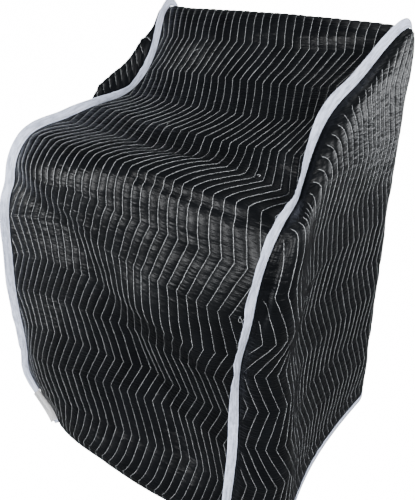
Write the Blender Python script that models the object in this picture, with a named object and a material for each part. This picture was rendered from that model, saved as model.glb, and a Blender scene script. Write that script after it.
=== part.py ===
"""Quilted cover for a floor appliance with a raised back: one long strip, two side panels and bound seams."""

import math

import bpy
import numpy as np

for item in list(bpy.data.objects):
    bpy.data.objects.remove(item, do_unlink=True)

# Sizes in metres. X runs across, Y from front to rear, Z up from the hem.
PITCH = 0.0254  # from one stitch line to the next
LINES = 29  # stitch lines on the strip and on each side panel
WIDTH = PITCH * (LINES + 1)  # the strip, from seam to seam
HALF_WAVE = 0.119  # along a stitch line, from one corner of the zigzag to the next
SWING = 0.8 * PITCH  # how far a corner stands to one side of its line
FIRST_CORNER = 0.3  # the first corner, in half waves above the hem
PAD = 0.0046  # thickness of the pad, filling and both faces
PUFF = 0.0011  # how far a channel rises, and a stitch line sinks
SEAM_GAP = 0.0003  # each panel stops this short of the seam
TAPE_WIDTH = 0.024
TAPE_THICK = 0.0032
HEM_TAPE_THICK = 0.0014
CLEAR = 0.0005
TAPE_CLEAR = 0.0005
LABEL_SIZE = (0.100, 0.024, 0.0012)

# Colour and roughness of each piece.
PAD_BLACK = (0.020, 0.022, 0.025)
TAPE_GREY = (0.56, 0.58, 0.66)
LOOKS = {
    "centre_panel": (PAD_BLACK, 0.5),
    "side_left": (PAD_BLACK, 0.5),
    "side_right": (PAD_BLACK, 0.5),
    "seam_tape_left": (TAPE_GREY, 0.85),
    "seam_tape_right": (TAPE_GREY, 0.85),
    "hem_tape_left": (TAPE_GREY, 0.85),
    "hem_tape_right": (TAPE_GREY, 0.85),
    "label": ((0.82, 0.82, 0.83), 0.6),
}

# Places along the strip, counted in half waves from the front hem.
FRONT_EDGE = 8.15
BACK_EDGE = 14.2
REAR_HEM = 24.75

# The strip's course in millimetres, at the left seam, at one third, at two thirds and at the right seam.
# Columns: row, y and z at each of the four places, and the sideways shift of the left and of the right seam
# and of the strip at one third and at two thirds.
COURSE = (
    (0.0, -71, 0, -101, 30, -66, -15, -16, -10, 95, -26, -69, -30),
    (0.3, -67, 33, -100, 59, -70, 14, -14, 25, 72, -24, -46, -9),
    (0.8, -68, 84, -89, 106, -51, 72, -10, 84, 26, -22, -18, 7),
    (1.3, -66, 142, -74, 161, -16, 136, -4, 142, -16, -21, -6, 2),
    (2.3, -64, 264, -55, 300, 27, 256, 18, 258, -4, -26, -15, -26),
    (3.3, -57, 383, -38, 418, 30, 361, 32, 375, -2, -34, -8, -19),
    (4.3, -49, 502, -17, 530, 22, 490, 31, 493, -2, -38, -7, -13),
    (5.3, -35, 619, -11, 641, 5, 604, 18, 610, 3, -26, -6, -21),
    (6.3, -18, 736, 6, 758, 5, 728, 0, 724, 7, 1, -7, -23),
    (7.3, 19, 847, 2, 873, 26, 840, 14, 838, 12, 10, -7, -32),
    (8.2, 84, 926, 51, 945, 61, 935, 70, 918, 15, 14, 19, -10),
    (9.3, 204, 943, 202, 940, 191, 944, 194, 912, 14, -20, 6, 25),
    (10.3, 319, 957, 315, 946, 273, 966, 264, 972, 15, -33, 8, 47),
    (11.3, 436, 967, 439, 970, 382, 997, 347, 1046, 22, -32, 1, 40),
    (12.3, 536, 1022, 521, 1041, 475, 1057, 450, 1091, 29, -21, -4, 23),
    (13.3, 603, 1115, 573, 1128, 578, 1128, 554, 1136, 31, -14, 0, 4),
    (14.0, 642, 1184, 630, 1188, 614, 1190, 617, 1180, 29, 6, 0, 0),
    (14.5, 684, 1188, 672, 1189, 660, 1190, 664, 1176, 27, 14, 0, 0),
    (15.3, 700, 1100, 694, 1104, 686, 1104, 688, 1092, 27, 14, 0, 0),
    (18.3, 704, 756, 702, 756, 700, 756, 696, 750, 14, 2, 0, 0),
    (21.5, 706, 384, 710, 384, 708, 384, 700, 386, 4, -8, 0, 0),
    (24.75, 708, 0, 716, -2, 714, 0, 704, 14, 0, -14, 0, 0),
)

# Folds of the strip: each runs between two places, in pitches across and half waves along.
# Columns: across and along at one end, across and along at the other, height raised in mm, and spread in mm.
FOLDS = (
    (1.0, 7.1, 8.0, 6.3, -12, 38),
    (8.0, 6.3, 13.0, 5.4, -17, 42),
    (13.0, 5.4, 17.0, 4.1, -20, 44),
    (17.0, 4.1, 20.5, 2.6, -17, 40),
    (20.5, 2.6, 24.0, 1.4, -11, 38),
    (20.0, 5.6, 26.0, 5.1, 20, 66),
    (8.5, 6.8, 13.0, 6.55, 5, 13),
    (16.5, 8.1, 27.2, 8.05, -7, 12),
    (13.0, 9.5, 20.0, 9.9, -13, 62),
    (20.5, 13.55, 28.0, 13.8, 6, 24),
    (5.0, 20.5, 9.0, 15.5, -8, 60),
)

# How far each side stands out past its seams in millimetres, by share of the height and share of the depth.
STAND_SHARES = (0.14, 0.42, 0.66, 0.90)
STAND_RIGHT = (
    (0.0, 132, 104, 112, 134),
    (0.3, 108, 74, 84, 104),
    (0.6, 84, 50, 56, 68),
    (0.9, 54, 34, 30, 26),
)
STAND_LEFT = (
    (0.0, 28, 50, 56, 66),
    (0.3, 48, 42, 48, 56),
    (0.6, 46, 36, 40, 46),
    (0.9, 36, 30, 30, 28),
)
ROUND_FRONT = 0.130
ROUND_TOP = 0.085
ROUND_REAR = 0.105
# How far each tape is turned up from the side panel, by row, in degrees: past 90 it leans over the strip.
TAPE_LEAN_RIGHT = (
    (0, 134), (3, 126), (4.2, 112), (5, 103), (8, 100), (8.8, 106), (9.6, 120), (13, 122), (24.75, 118)
)
TAPE_LEAN_LEFT = ((0, 52), (9.3, 54), (10.3, 84), (11.2, 98), (13, 98), (14.2, 80), (15.3, 60), (24.75, 52))
# The left side is pulled straight over the step, which raises a ridge outside the seam.
# Columns: share of the depth, and height above the seam in millimetres.
RIDGE_LEFT = ((0.0, 0), (0.40, 0), (0.59, 43), (0.77, 62), (0.88, 38), (0.96, 0), (1.0, 0))
RIDGE_NEAR = 0.040
RIDGE_FAR = 0.300
MIDDLE_Y = 0.350  # the stitch lines of a side are counted from this depth
SEAM_CLEAR = 0.012  # the quilting of a side ends this far inside its seam

STRIP_ROWS = (
    [0.0, 0.3, 0.8]
    + [0.3 + n / 2 for n in range(2, 15)]
    + [7.6, 7.74, 7.88, 8.02, 8.16, 8.32, 8.6]
    + [9.3 + n / 2 for n in range(0, 10)]
    + [14.0, 14.14, 14.27, 14.4, 14.6, 15.3, 16.3]
    + [17.3 + n for n in range(0, 8)]
    + [REAR_HEM]
)
# The rows of a side: level ones, and then rows that follow the seam at these distances below it.
SIDE_ROWS = [0.0, 0.21, 0.3] + [1.3 + n for n in range(0, 9)]
SIDE_BELOW = [0.75, 0.5, 0.28, 0.1]


def spline(knots, values, x):
    """Natural cubic curve through the values, read at x. Values may have several columns."""
    knots = np.asarray(knots, float)
    values = np.asarray(values, float)
    flat = values.reshape(len(knots), -1)
    step = np.diff(knots)
    slope = np.diff(flat, axis=0) / step[:, None]
    size = len(knots)
    left = np.eye(size)
    right = np.zeros_like(flat)
    for n in range(1, size - 1):
        left[n, n - 1] = step[n - 1]
        left[n, n] = 2 * (step[n - 1] + step[n])
        left[n, n + 1] = step[n]
        right[n] = 6 * (slope[n] - slope[n - 1])
    bend = np.linalg.solve(left, right)
    x = np.asarray(x, float)
    n = np.clip(np.searchsorted(knots, x, side="right") - 1, 0, size - 2)
    h = step[n][..., None]
    a = (knots[n + 1] - x)[..., None] / h
    b = 1 - a
    found = a * flat[n] + b * flat[n + 1] + ((a**3 - a) * bend[n] + (b**3 - b) * bend[n + 1]) * h * h / 6
    return found.reshape(x.shape + values.shape[1:])


def unit(vectors):
    """Vectors of length one."""
    return vectors / np.maximum(np.linalg.norm(vectors, axis=-1, keepdims=True), 1e-12)


def zigzag(row):
    """Sideways place of a stitch line, from -1 to 1, at a row counted in half waves above the hem."""
    turn = np.asarray(row, float) - FIRST_CORNER
    return 1 - 2 * np.abs((turn / 2) % 1 * 2 - 1)


def fold_height(across, along):
    """How far the folds raise the strip, at a place in metres across and half waves along."""
    raised_part = np.zeros(np.broadcast(across, along).shape)
    sunk_part = np.zeros(raised_part.shape)
    for across_a, along_a, across_b, along_b, raised, spread in FOLDS:
        a = np.array((across_a * PITCH, along_a * HALF_WAVE))
        b = np.array((across_b * PITCH, along_b * HALF_WAVE))
        run = b - a
        share = ((across - a[0]) * run[0] + (along * HALF_WAVE - a[1]) * run[1]) / (run @ run)
        share = np.clip(share, 0, 1)
        far = np.hypot(across - a[0] - share * run[0], along * HALF_WAVE - a[1] - share * run[1])
        height = np.abs(raised) * np.exp(-((far * 1000 / spread) ** 2))
        # the fourth power lets folds that meet end to end run on at the same height
        if raised > 0:
            raised_part += height**4
        else:
            sunk_part += height**4
    return (raised_part**0.25 - sunk_part**0.25) / 1000


def strip_base(across, along):
    """The strip's middle layer before its folds."""
    table = np.array(COURSE, float)
    course = spline(table[:, 0], table[:, 1:9] / 1000, along)
    shift = spline(table[:, 0], table[:, 9:] / 1000, along)
    share = across / WIDTH
    # the cubic through the four places across the strip
    places = np.array((0, 1 / 3, 2 / 3, 1))
    weight = []
    for n in range(4):
        others = np.delete(places, n)
        weight.append(np.prod([(share - o) / (places[n] - o) for o in others], axis=0))
    y = sum(weight[n] * course[..., 2 * n] for n in range(4))
    z = sum(weight[n] * course[..., 2 * n + 1] for n in range(4))
    x = across - WIDTH / 2 + shift[..., 0] * (1 - share) + shift[..., 1] * share
    x = x + weight[1] * shift[..., 2] + weight[2] * shift[..., 3]
    return np.stack((x, y, z), -1)


def strip_frame(place, across, along):
    """Point and outward direction of a surface of the strip."""
    d = 0.002
    side = place(across + d, along) - place(across - d, along)
    up = place(across, along + d / HALF_WAVE) - place(across, along - d / HALF_WAVE)
    return place(across, along), unit(np.cross(side, up))


def strip_point(across, along):
    """The strip's middle layer with its folds."""
    point, out = strip_frame(strip_base, across, along)
    return point + out * fold_height(across, along)[..., None]


def strip_surface(across, along):
    """Point and outward direction of the finished middle layer."""
    return strip_frame(strip_point, across, along)


def seam_at(along, right):
    """Seam point, outward direction, direction along the seam and direction away from the strip."""
    along = np.asarray(along, float)
    across = np.full(along.shape, WIDTH if right else 0.0)
    point, out = strip_surface(across, along)
    d = 0.01
    run = unit(strip_point(across, along + d) - strip_point(across, along - d))
    out = unit(out - run * (out * run).sum(-1, keepdims=True))
    away = np.cross(run, out)
    return point, out, run, away if right else -away


def quarter(distance, width):
    """Rises from 0 to 1 like a quarter of a circle."""
    return np.sqrt(np.maximum(1 - (1 - np.clip(distance / width, 0, 1)) ** 2, 0))


class Side:
    """One side panel, as a patch between the seam and the hem."""

    def __init__(self, right):
        self.right = right
        self.sign = 1.0 if right else -1.0
        self.stand = np.array(STAND_RIGHT if right else STAND_LEFT, float)
        self.top = np.linspace(FRONT_EDGE, BACK_EDGE, 200)
        self.top_y = seam_at(self.top, right)[0][:, 1]
        self.share = (self.top_y - self.top_y[0]) / (self.top_y[-1] - self.top_y[0])
        self.share = np.maximum.accumulate(self.share)
        self.front_foot = self.seam(0.0)
        self.rear_foot = self.seam(REAR_HEM)
        self.front_head = self.seam(FRONT_EDGE)
        self.rear_head = self.seam(BACK_EDGE)

    def seam(self, along):
        return seam_at(along, self.right)[0]

    def height(self, share):
        """Height of the panel at a share of its depth, in half waves."""
        head = self.seam(np.interp(share, self.share, self.top))
        foot = self.front_foot[2] * (1 - share) + self.rear_foot[2] * share
        return (head[..., 2] - foot) / HALF_WAVE

    def point(self, share, level):
        """Middle layer at a share of the depth and a share of the height."""
        share, level = np.broadcast_arrays(np.asarray(share, float), np.asarray(level, float))
        s = share[..., None]
        t = level[..., None]
        front = self.seam(level * FRONT_EDGE)
        rear = self.seam(REAR_HEM - level * (REAR_HEM - BACK_EDGE))
        head = self.seam(np.interp(share, self.share, self.top))
        foot = self.front_foot * (1 - s) + self.rear_foot * s
        corners = (1 - s) * ((1 - t) * self.front_foot + t * self.front_head) + s * (
            (1 - t) * self.rear_foot + t * self.rear_head
        )
        point = (1 - s) * front + s * rear + (1 - t) * foot + t * head - corners
        rows = spline(self.stand[:, 0], self.stand[:, 1:], np.clip(level, 0, 0.95))
        shares = np.array(STAND_SHARES)
        weight = []
        for n in range(4):
            others = np.delete(shares, n)
            weight.append(np.prod([(share - o) / (shares[n] - o) for o in others], axis=0))
        stand = sum(weight[n] * rows[..., n] for n in range(4)) / 1000
        depth = self.rear_head[1] - self.front_foot[1]
        tall = self.height(share) * HALF_WAVE
        stand = stand * quarter(share * depth, ROUND_FRONT) * quarter((1 - share) * depth, ROUND_REAR)
        stand = stand * quarter((1 - level) * tall, ROUND_TOP)
        return point + np.stack((stand * self.sign, 0 * stand, self.ridge(share, (1 - level) * tall)), -1)

    def ridge(self, share, below):
        """How far the left panel rises where it is pulled over the step, at a distance below the seam."""
        if self.right:
            return 0 * below
        table = np.array(RIDGE_LEFT, float)
        height = np.interp(share, table[:, 0], table[:, 1] / 1000)
        lift = height + RIDGE_NEAR * np.clip(height / 0.02, 0, 1)
        up = np.sin(math.pi / 2 * np.clip(below / RIDGE_NEAR, 0, 1))
        down = (1 + np.cos(math.pi * np.clip((below - RIDGE_NEAR) / (RIDGE_FAR - RIDGE_NEAR), 0, 1))) / 2
        return lift * up * down

    def place_row(self, high, columns):
        """Shares of the depth where the stitch columns cross a row, and which columns lie past its ends.

        The row is given by its height in half waves at each of a list of shares.
        """
        fine = (1 - np.cos(np.linspace(0, math.pi, 161))) / 2
        tall = self.height(fine)
        level = np.clip(high(tall) / tall, 0, 1)
        course = self.point(fine, level)
        # a line's place counts only the level run of the cloth, so that it stands upright in the cloth
        run = np.concatenate(([0], np.cumsum(np.linalg.norm(np.diff(course[:, :2], axis=0), axis=1))))
        run = run - np.interp(MIDDLE_Y, course[:, 1], run)
        target = columns * PITCH
        for _ in range(3):
            target = columns * PITCH + zigzag(np.interp(target, run, level * tall)) * SWING
        low = run[0] + SEAM_CLEAR
        high_end = run[-1] - SEAM_CLEAR
        past = np.where(target < low + 0.004, -1, np.where(target > high_end - 0.004, 1, 0))
        target = np.where(past < 0, low, np.where(past > 0, high_end, target))
        return np.interp(target, run, fine), past

    def grid(self, rows, below, columns):
        """Grid of level rows and of rows that follow the seam, by stitch columns."""
        shares = []
        levels = []
        pasts = []
        for row in rows:
            share, past = self.place_row(lambda tall, row=row: np.minimum(row, tall), columns)
            shares.append(share)
            levels.append(np.minimum(row / self.height(share), 1))
            pasts.append(past)
        for distance in below:
            share, past = self.place_row(lambda tall, distance=distance: tall - distance, columns)
            shares.append(share)
            levels.append(1 - distance / self.height(share))
            pasts.append(past)
        share = np.array(shares)
        level = np.array(levels)
        past = np.array(pasts)
        index = np.arange(share.size).reshape(share.shape)
        ceiling = len(rows)
        for n in range(len(share)):
            index[n, past[n] < 0] = index[n, past[n] < 0][-1]
            index[n, past[n] > 0] = index[n, past[n] > 0][0]
        for n in range(ceiling):
            # where a level row has reached the seam it is joined to the first row below the seam
            reached = rows[n] > level[ceiling] * self.height(share[ceiling]) - 0.12
            first = np.flatnonzero(past[n] < 0)[-1]
            last = np.flatnonzero(past[n] > 0)[0]
            reached[:first] = reached[first]
            reached[last:] = reached[last]
            index[n, reached] = index[ceiling, reached]
        point = self.point(share, level)
        d = 0.004
        side = self.point(np.minimum(share + d, 1), level) - self.point(np.maximum(share - d, 0), level)
        rise = self.point(share, np.minimum(level + d, 1)) - self.point(share, np.maximum(level - d, 0))
        out = unit(np.cross(side, rise)) * self.sign
        return SideGrid(point, out, share, level, index, past != 0)


class SideGrid:
    """Points of a side panel in rows and columns, with the numbers that joined points share."""

    def __init__(self, point, out, share, level, index, clipped):
        self.point = point
        self.out = out
        self.share = share
        self.level = level
        self.index = index
        self.clipped = clipped

    def border(self):
        """The path up the front, along the top and down the rear, with places from 0 to 3."""
        front = self.index[:, 0]
        top = self.index[-1, 1:]
        rear = self.index[-2::-1, -1]
        level = self.level.ravel()
        share = self.share.ravel()
        places = np.concatenate((level[front], 1 + share[top], 3 - level[rear]))
        return without_repeats(np.concatenate((front, top, rear)), places)


def channel_height(columns):
    """Puffed channels between stitch lines, which lie at whole numbers."""
    return np.where(columns % 1 == 0, -PUFF, PUFF)


def plain_material(name, color, roughness):
    """A plain material with one colour."""
    made = bpy.data.materials.new(name)
    made.use_nodes = True
    shader = made.node_tree.nodes["Principled BSDF"]
    shader.inputs["Base Color"].default_value = (*color, 1.0)
    shader.inputs["Roughness"].default_value = roughness
    shader.inputs["Metallic"].default_value = 0.0
    return made


def mesh_object(name, points, faces):
    """A mesh object from points and faces, without the points that no face uses."""
    used = np.unique(np.concatenate([np.array(face) for face in faces]))
    number = np.zeros(len(points), int)
    number[used] = np.arange(len(used))
    mesh = bpy.data.meshes.new(name)
    mesh.from_pydata(points[used].tolist(), [], [number[list(face)].tolist() for face in faces])
    mesh.shade_smooth()
    mesh.set_sharp_from_angle(angle=math.radians(14))
    mesh.update()
    mesh.materials.append(plain_material(name, *LOOKS[name]))
    made = bpy.data.objects.new(name, mesh)
    bpy.context.scene.collection.objects.link(made)
    return made


def zip_paths(first, first_at, second, second_at):
    """Triangles between two paths of point numbers, walked together by their places."""
    faces = []
    a = 0
    b = 0
    while a < len(first) - 1 or b < len(second) - 1:
        step_a = b == len(second) - 1 or (a < len(first) - 1 and first_at[a + 1] <= second_at[b + 1])
        if step_a:
            faces.append((first[a], first[a + 1], second[b]))
            a += 1
        else:
            faces.append((first[a], second[b + 1], second[b]))
            b += 1
    return faces


def flipped(faces):
    """The same faces turned round."""
    return [tuple(reversed(face)) for face in faces]


def grid_faces(index):
    """Faces of a grid of point numbers, facing the side where rows go up and columns right.

    Points that share a number have been joined, which leaves a triangle or nothing there.
    """
    faces = []
    for i in range(index.shape[0] - 1):
        for j in range(index.shape[1] - 1):
            corners = (index[i, j], index[i, j + 1], index[i + 1, j + 1], index[i + 1, j])
            face = tuple(dict.fromkeys(corners))
            if len(face) > 2:
                faces.append(face)
    return faces


def without_repeats(path, places):
    """A path of point numbers and its places, with each number that repeats the one before left out."""
    path = np.asarray(path)
    keep = np.concatenate(([True], path[1:] != path[:-1]))
    return list(path[keep]), np.asarray(places)[keep]


def strip_grid(rows, columns):
    """Places across the strip for rows and stitch columns, cut off at the seams, and the point numbers."""
    target = columns[None] * PITCH + zigzag(rows)[:, None] * SWING
    near = 0.005
    low = target < near
    high = target > WIDTH - near
    across = np.where(low, SEAM_GAP, np.where(high, WIDTH - SEAM_GAP, target))
    index = np.arange(across.size).reshape(across.shape)
    for n in range(len(rows)):
        index[n, low[n]] = index[n, low[n]][-1]
        index[n, high[n]] = index[n, high[n]][0]
    return across, index


def build_strip():
    """The long quilted strip, as one closed pad."""
    rows = np.array(STRIP_ROWS)
    columns = np.arange(-2, 2 * LINES + 7) / 2
    across, over = strip_grid(rows, columns)
    along = np.repeat(rows[:, None], len(columns), 1)
    point, out = strip_surface(across, along)
    puff = channel_height(columns) * np.clip((np.minimum(across, WIDTH - across) - 0.003) / 0.006, 0, 1)
    outer = point + out * (PAD / 2 + puff)[..., None]

    lining_across, under = strip_grid(rows, columns[::2])
    point, out = strip_surface(lining_across, along[:, ::2])
    inner = point - out * PAD / 2
    points = np.concatenate((outer.reshape(-1, 3), inner.reshape(-1, 3)))
    under = under + over.size
    faces = grid_faces(over) + flipped(grid_faces(under))
    for i in range(len(rows) - 1):
        faces.append((over[i, 0], over[i + 1, 0], under[i + 1, 0], under[i, 0]))
        faces.append((over[i, -1], under[i, -1], under[i + 1, -1], over[i + 1, -1]))
    for i in (0, -1):
        ends = zip_paths(*without_repeats(over[i], across[i]), *without_repeats(under[i], lining_across[i]))
        faces += flipped(ends) if i == 0 else ends
    return mesh_object("centre_panel", points, faces)


def build_side(side, name):
    """A quilted side panel, as one closed pad."""
    rows = np.array(SIDE_ROWS)
    columns = np.arange(-44, 45) / 2
    outer_grid = side.grid(rows, SIDE_BELOW, columns)
    puff = np.tile(channel_height(columns), (len(rows) + len(SIDE_BELOW), 1))
    puff = np.where(outer_grid.clipped, 0, puff)
    puff[:2] = 0
    outer = outer_grid.point + outer_grid.out * (PAD / 2 + puff)[..., None]
    lining_grid = side.grid(rows, SIDE_BELOW, columns[::2])
    inner = lining_grid.point - lining_grid.out * PAD / 2

    along = np.array(STRIP_ROWS)
    seam, seam_out, run, away = seam_at(along, side.right)
    seam = seam + away * SEAM_GAP
    seam_outer = seam + seam_out * PAD / 2
    seam_inner = seam - seam_out * PAD / 2
    seam_share = np.interp(along, side.top, side.share)
    rise = along / FRONT_EDGE
    fall = (REAR_HEM - along) / (REAR_HEM - BACK_EDGE)
    seam_places = np.where(along < FRONT_EDGE, rise, np.where(along > BACK_EDGE, 3 - fall, 1 + seam_share))

    points = np.concatenate((outer.reshape(-1, 3), inner.reshape(-1, 3), seam_outer, seam_inner))
    over = outer_grid.index
    under = lining_grid.index + over.size
    rim_over = over.size + under.size + np.arange(len(along))
    rim_under = rim_over + len(along)
    path_over, at_over = outer_grid.border()
    path_under, at_under = lining_grid.border()
    path_under = [n + over.size for n in path_under]
    shell = grid_faces(over) + flipped(zip_paths(list(rim_over), seam_places, path_over, at_over))
    lining = grid_faces(under) + flipped(zip_paths(list(rim_under), seam_places, path_under, at_under))
    faces = shell + flipped(lining)
    for n in range(len(along) - 1):
        faces.append((rim_over[n], rim_over[n + 1], rim_under[n + 1], rim_under[n]))
    hem_over, at_hem = without_repeats(over[0], outer_grid.share[0])
    hem_under, at_lining = without_repeats(under[0], lining_grid.share[0])
    hem_over = [rim_over[0]] + hem_over + [rim_over[-1]]
    hem_under = [rim_under[0]] + hem_under + [rim_under[-1]]
    at_hem = np.concatenate(([0], at_hem, [1]))
    at_lining = np.concatenate(([0], at_lining, [1]))
    faces += flipped(zip_paths(hem_over, at_hem, hem_under, at_lining))
    if not side.right:
        faces = flipped(faces)
    return mesh_object(name, points, faces)


def sweep(name, sections):
    """A closed bar through sections of equally many points, each going round the same way."""
    count, size = sections.shape[:2]
    faces = []
    for i in range(count - 1):
        for j in range(size):
            k = (j + 1) % size
            faces.append((i * size + j, i * size + k, (i + 1) * size + k, (i + 1) * size + j))
    half = size // 2
    for base, turn in ((0, False), ((count - 1) * size, True)):
        for j in range(half - 1):
            cap = (base + j, base + size - 1 - j, base + size - 2 - j, base + j + 1)
            faces.append(tuple(reversed(cap)) if turn else cap)
    made = mesh_object(name, sections.reshape(-1, 3), faces)
    points = sections.reshape(-1, 3)
    volume = 0.0
    for face in faces:
        for n in range(1, len(face) - 1):
            volume += np.dot(points[face[0]], np.cross(points[face[n]], points[face[n + 1]]))
    if volume < 0:
        made.data.flip_normals()
    return made


def build_seam_tape(right, name):
    """The bound seam: a folded tape that stands out from the seam."""
    along = np.array(STRIP_ROWS)
    seam, out, run, away = seam_at(along, right)
    table = np.array(TAPE_LEAN_RIGHT if right else TAPE_LEAN_LEFT, float)
    lean = np.radians(np.interp(along, table[:, 0], table[:, 1]))
    wave = 0.08 * np.sin(along * 2.3 + (0.6 if right else 2.0)) + 0.04 * np.sin(along * 5.1)
    angle = (lean + wave)[:, None]
    reach = away * np.cos(angle) + out * np.sin(angle)
    face = out * np.cos(angle) - away * np.sin(angle)
    # where the tape stands up, its foot moves onto the strip, clear of the side panel
    foot = 0.0005 - 0.003 * np.clip((np.degrees(lean) - 60) / 30, 0, 1)
    lift = PAD / 2 + TAPE_CLEAR + TAPE_THICK * 0.4 * np.abs(np.cos(angle))
    lift = lift - 0.25 * np.minimum(foot, 0)[:, None]
    root = seam + out * lift + away * foot[:, None]
    places = ((0.0, 0.8), (0.45, 0.62), (0.55, 0.62), (1.0, 1.0))
    crease = 0.0012
    near = []
    far = []
    for share, thick in places:
        middle = root + reach * TAPE_WIDTH * share + face * crease * math.sin(math.pi * share)
        near.append(middle - face * TAPE_THICK / 2 * thick)
        far.append(middle + face * TAPE_THICK / 2 * thick)
    sections = np.stack(near + far[::-1], 1)
    return sweep(name, sections)


def build_hem_tape(side, name):
    """The narrow binding folded round a side panel's lower edge."""
    columns = np.arange(-44, 45) / 2
    grid = side.grid(np.array(SIDE_ROWS[:2]), SIDE_BELOW[:1], columns)
    free = np.flatnonzero(~grid.clipped[:2].any(0))
    # every half pitch round the two corners, and every pitch between them
    close = 15
    front = np.arange(free[0] - 1, free[0] + close)
    rear = np.arange(free[-1] - close, free[-1] + 2)
    kept = np.concatenate((front, np.arange(front[-1] + 2, rear[0], 2), rear))
    foot, head = grid.point[:2, kept]
    low_out, high_out = grid.out[:2, kept]
    up = unit(head - foot)
    top = foot + (head - foot) * 0.88
    inside = PAD / 2 + 3 * CLEAR
    outside = inside + HEM_TAPE_THICK
    back = PAD / 2 + 5 * CLEAR
    drop = up * (CLEAR + HEM_TAPE_THICK)
    outer_path = [top + high_out * outside, foot - drop + low_out * outside]
    outer_path += [foot - drop - low_out * (back + HEM_TAPE_THICK), top - high_out * (back + HEM_TAPE_THICK)]
    inner_path = [top + high_out * inside, foot - up * CLEAR + low_out * inside]
    inner_path += [foot - up * CLEAR - low_out * back, top - high_out * back]
    sections = np.stack(outer_path + inner_path[::-1], 1)
    return sweep(name, sections)


def build_label():
    """The blank label, sewn into the left seam just above the hem."""
    length, width, thick = LABEL_SIZE
    along = np.linspace(0.13, 0.13 + length / HALF_WAVE, 7)
    seam, out, run, away = seam_at(along, False)
    angle = math.radians(62)
    reach = -away * math.cos(angle) + out * math.sin(angle)
    face = out * math.cos(angle) + away * math.sin(angle)
    root = seam + out * (PAD / 2 + 0.0012) - away * 0.0045
    sections = []
    for share in (0.0, 0.5, 1.0):
        bow = 0.0015 * math.sin(math.pi * share)
        sections.append(root + reach * width * share + face * bow)
    near = [s - face * thick / 2 for s in sections]
    far = [s + face * thick / 2 for s in sections]
    return sweep("label", np.stack(near + far[::-1], 1))


def main():
    made = [build_strip()]
    for right, word in ((False, "left"), (True, "right")):
        side = Side(right)
        made.append(build_side(side, "side_" + word))
        made.append(build_hem_tape(side, "hem_tape_" + word))
        made.append(build_seam_tape(right, "seam_tape_" + word))
    made.append(build_label())
    # the origin goes to the middle of the lowest plane
    spots = np.concatenate([np.array([v.co[:] for v in o.data.vertices]) for o in made])
    low = spots.min(0)
    high = spots.max(0)
    shift = np.array(((low[0] + high[0]) / 2, (low[1] + high[1]) / 2, low[2]))
    for o in made:
        for v in o.data.vertices:
            v.co = v.co - type(v.co)(shift)
        o.data.update()
    cover = bpy.data.objects.new("cover", None)
    bpy.context.scene.collection.objects.link(cover)
    for o in made:
        o.parent = cover


main()
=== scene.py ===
"""Looks of the quilted appliance cover: puffed cloth, stitching, bound seams, blank label and studio."""

import math

import bpy
import numpy as np
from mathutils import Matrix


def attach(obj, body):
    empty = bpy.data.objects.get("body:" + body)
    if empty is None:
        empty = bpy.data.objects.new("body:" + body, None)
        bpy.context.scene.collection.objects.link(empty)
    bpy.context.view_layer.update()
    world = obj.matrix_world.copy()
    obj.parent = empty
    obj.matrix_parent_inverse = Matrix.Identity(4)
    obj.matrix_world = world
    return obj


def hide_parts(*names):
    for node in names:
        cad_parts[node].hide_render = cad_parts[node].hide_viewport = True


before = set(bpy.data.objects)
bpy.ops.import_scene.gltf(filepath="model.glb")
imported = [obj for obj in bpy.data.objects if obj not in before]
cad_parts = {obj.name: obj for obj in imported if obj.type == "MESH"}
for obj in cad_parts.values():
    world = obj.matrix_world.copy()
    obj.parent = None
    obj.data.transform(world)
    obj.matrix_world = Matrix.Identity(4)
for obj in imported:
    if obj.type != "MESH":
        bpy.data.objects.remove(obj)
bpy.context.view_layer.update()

# Sizes are in metres. Rows are counted in half waves of the zigzag, and columns in pitches.
PITCH = 0.0254  # from one stitch line to the next
LINES = 29
WIDTH = PITCH * (LINES + 1)
HALF_WAVE = 0.119
SWING = 0.8 * PITCH  # of the zigzag, to each side
FIRST_CORNER = 0.3  # row of the zigzag's first corner
PAD = 0.0046  # thickness
PUFF = 0.0011  # how far the channels rise, and the valleys sink
SEAM_GAP = 0.0003  # left between pieces that meet at a seam
COLUMNS = 8  # cloth columns for each pitch
STEPS = 12  # cloth rows for each half wave
SIDE_REACH = 20  # columns of a side panel, to each side of its middle

# From a seam the small creases start after a gap and fade in, and so do the channels of a side. The strip's
# channels fade in from the seam itself. Above a hem both have their own fade.
CREASE_CLEAR = 0.003
CREASE_FADE = 0.020
CREASE_FADE_HEM = 0.030
CREASE_HEIGHT = 0.0016
BROAD_HEIGHT = 0.0022
MIDDLE_HEIGHT = 0.0012
PUFF_FADE = 0.006
PUFF_FADE_HEM = 0.012

THREAD = 0.0007  # width of a stitch line
# Heights of a stitch line's edges and of its middle over the pad's face, down in the valley.
THREAD_RISE = np.array((0.0002, 0.0007, 0.0002)) - PUFF * 0.75
STITCH_CLEAR = 0.003  # a stitch line on the strip keeps this far from the seams
STITCH_END = 0.002  # and its last point comes this near to one
STRAY = 0.0005  # how far a stitch line strays
MILLIMETRE = 0.001

TAPE_WIDTH = 0.024
TAPE_THICK = 0.0030
TAPE_STEP = 0.055  # from one section of a tape to the next, in rows
TAPE_POINTS = 11  # across a tape
TAPE_STITCH = 0.22  # place of a tape's stitching, as a share of its width
HEM_TAPE_THICK = 0.0012
HEM_TAPE_TOP = 0.21  # row just above the hem binding
HEM_TAPE_GAP_FRONT = 0.0009  # from the pad's outer face to the hem binding
HEM_TAPE_GAP_BACK = 0.0016  # from its inner face
LABEL_SIZE = (0.100, 0.024, 0.0010)
LABEL_ROW = 0.13  # of its lower end
LABEL_LEAN = 62  # degrees, turned up from the strip

# Places along the strip, counted in half waves from the front hem.
FRONT_EDGE = 8.15
BACK_EDGE = 14.2
REAR_HEM = 24.75

# The camera, the strip's course and MIDDLE_Y are written from an origin of their own, and the frame's origin
# lies here from it. These numbers were printed by another program, which measured the solids of part.py.
ORIGIN = np.array((0.028425, 0.313212, -0.027357))

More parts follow.
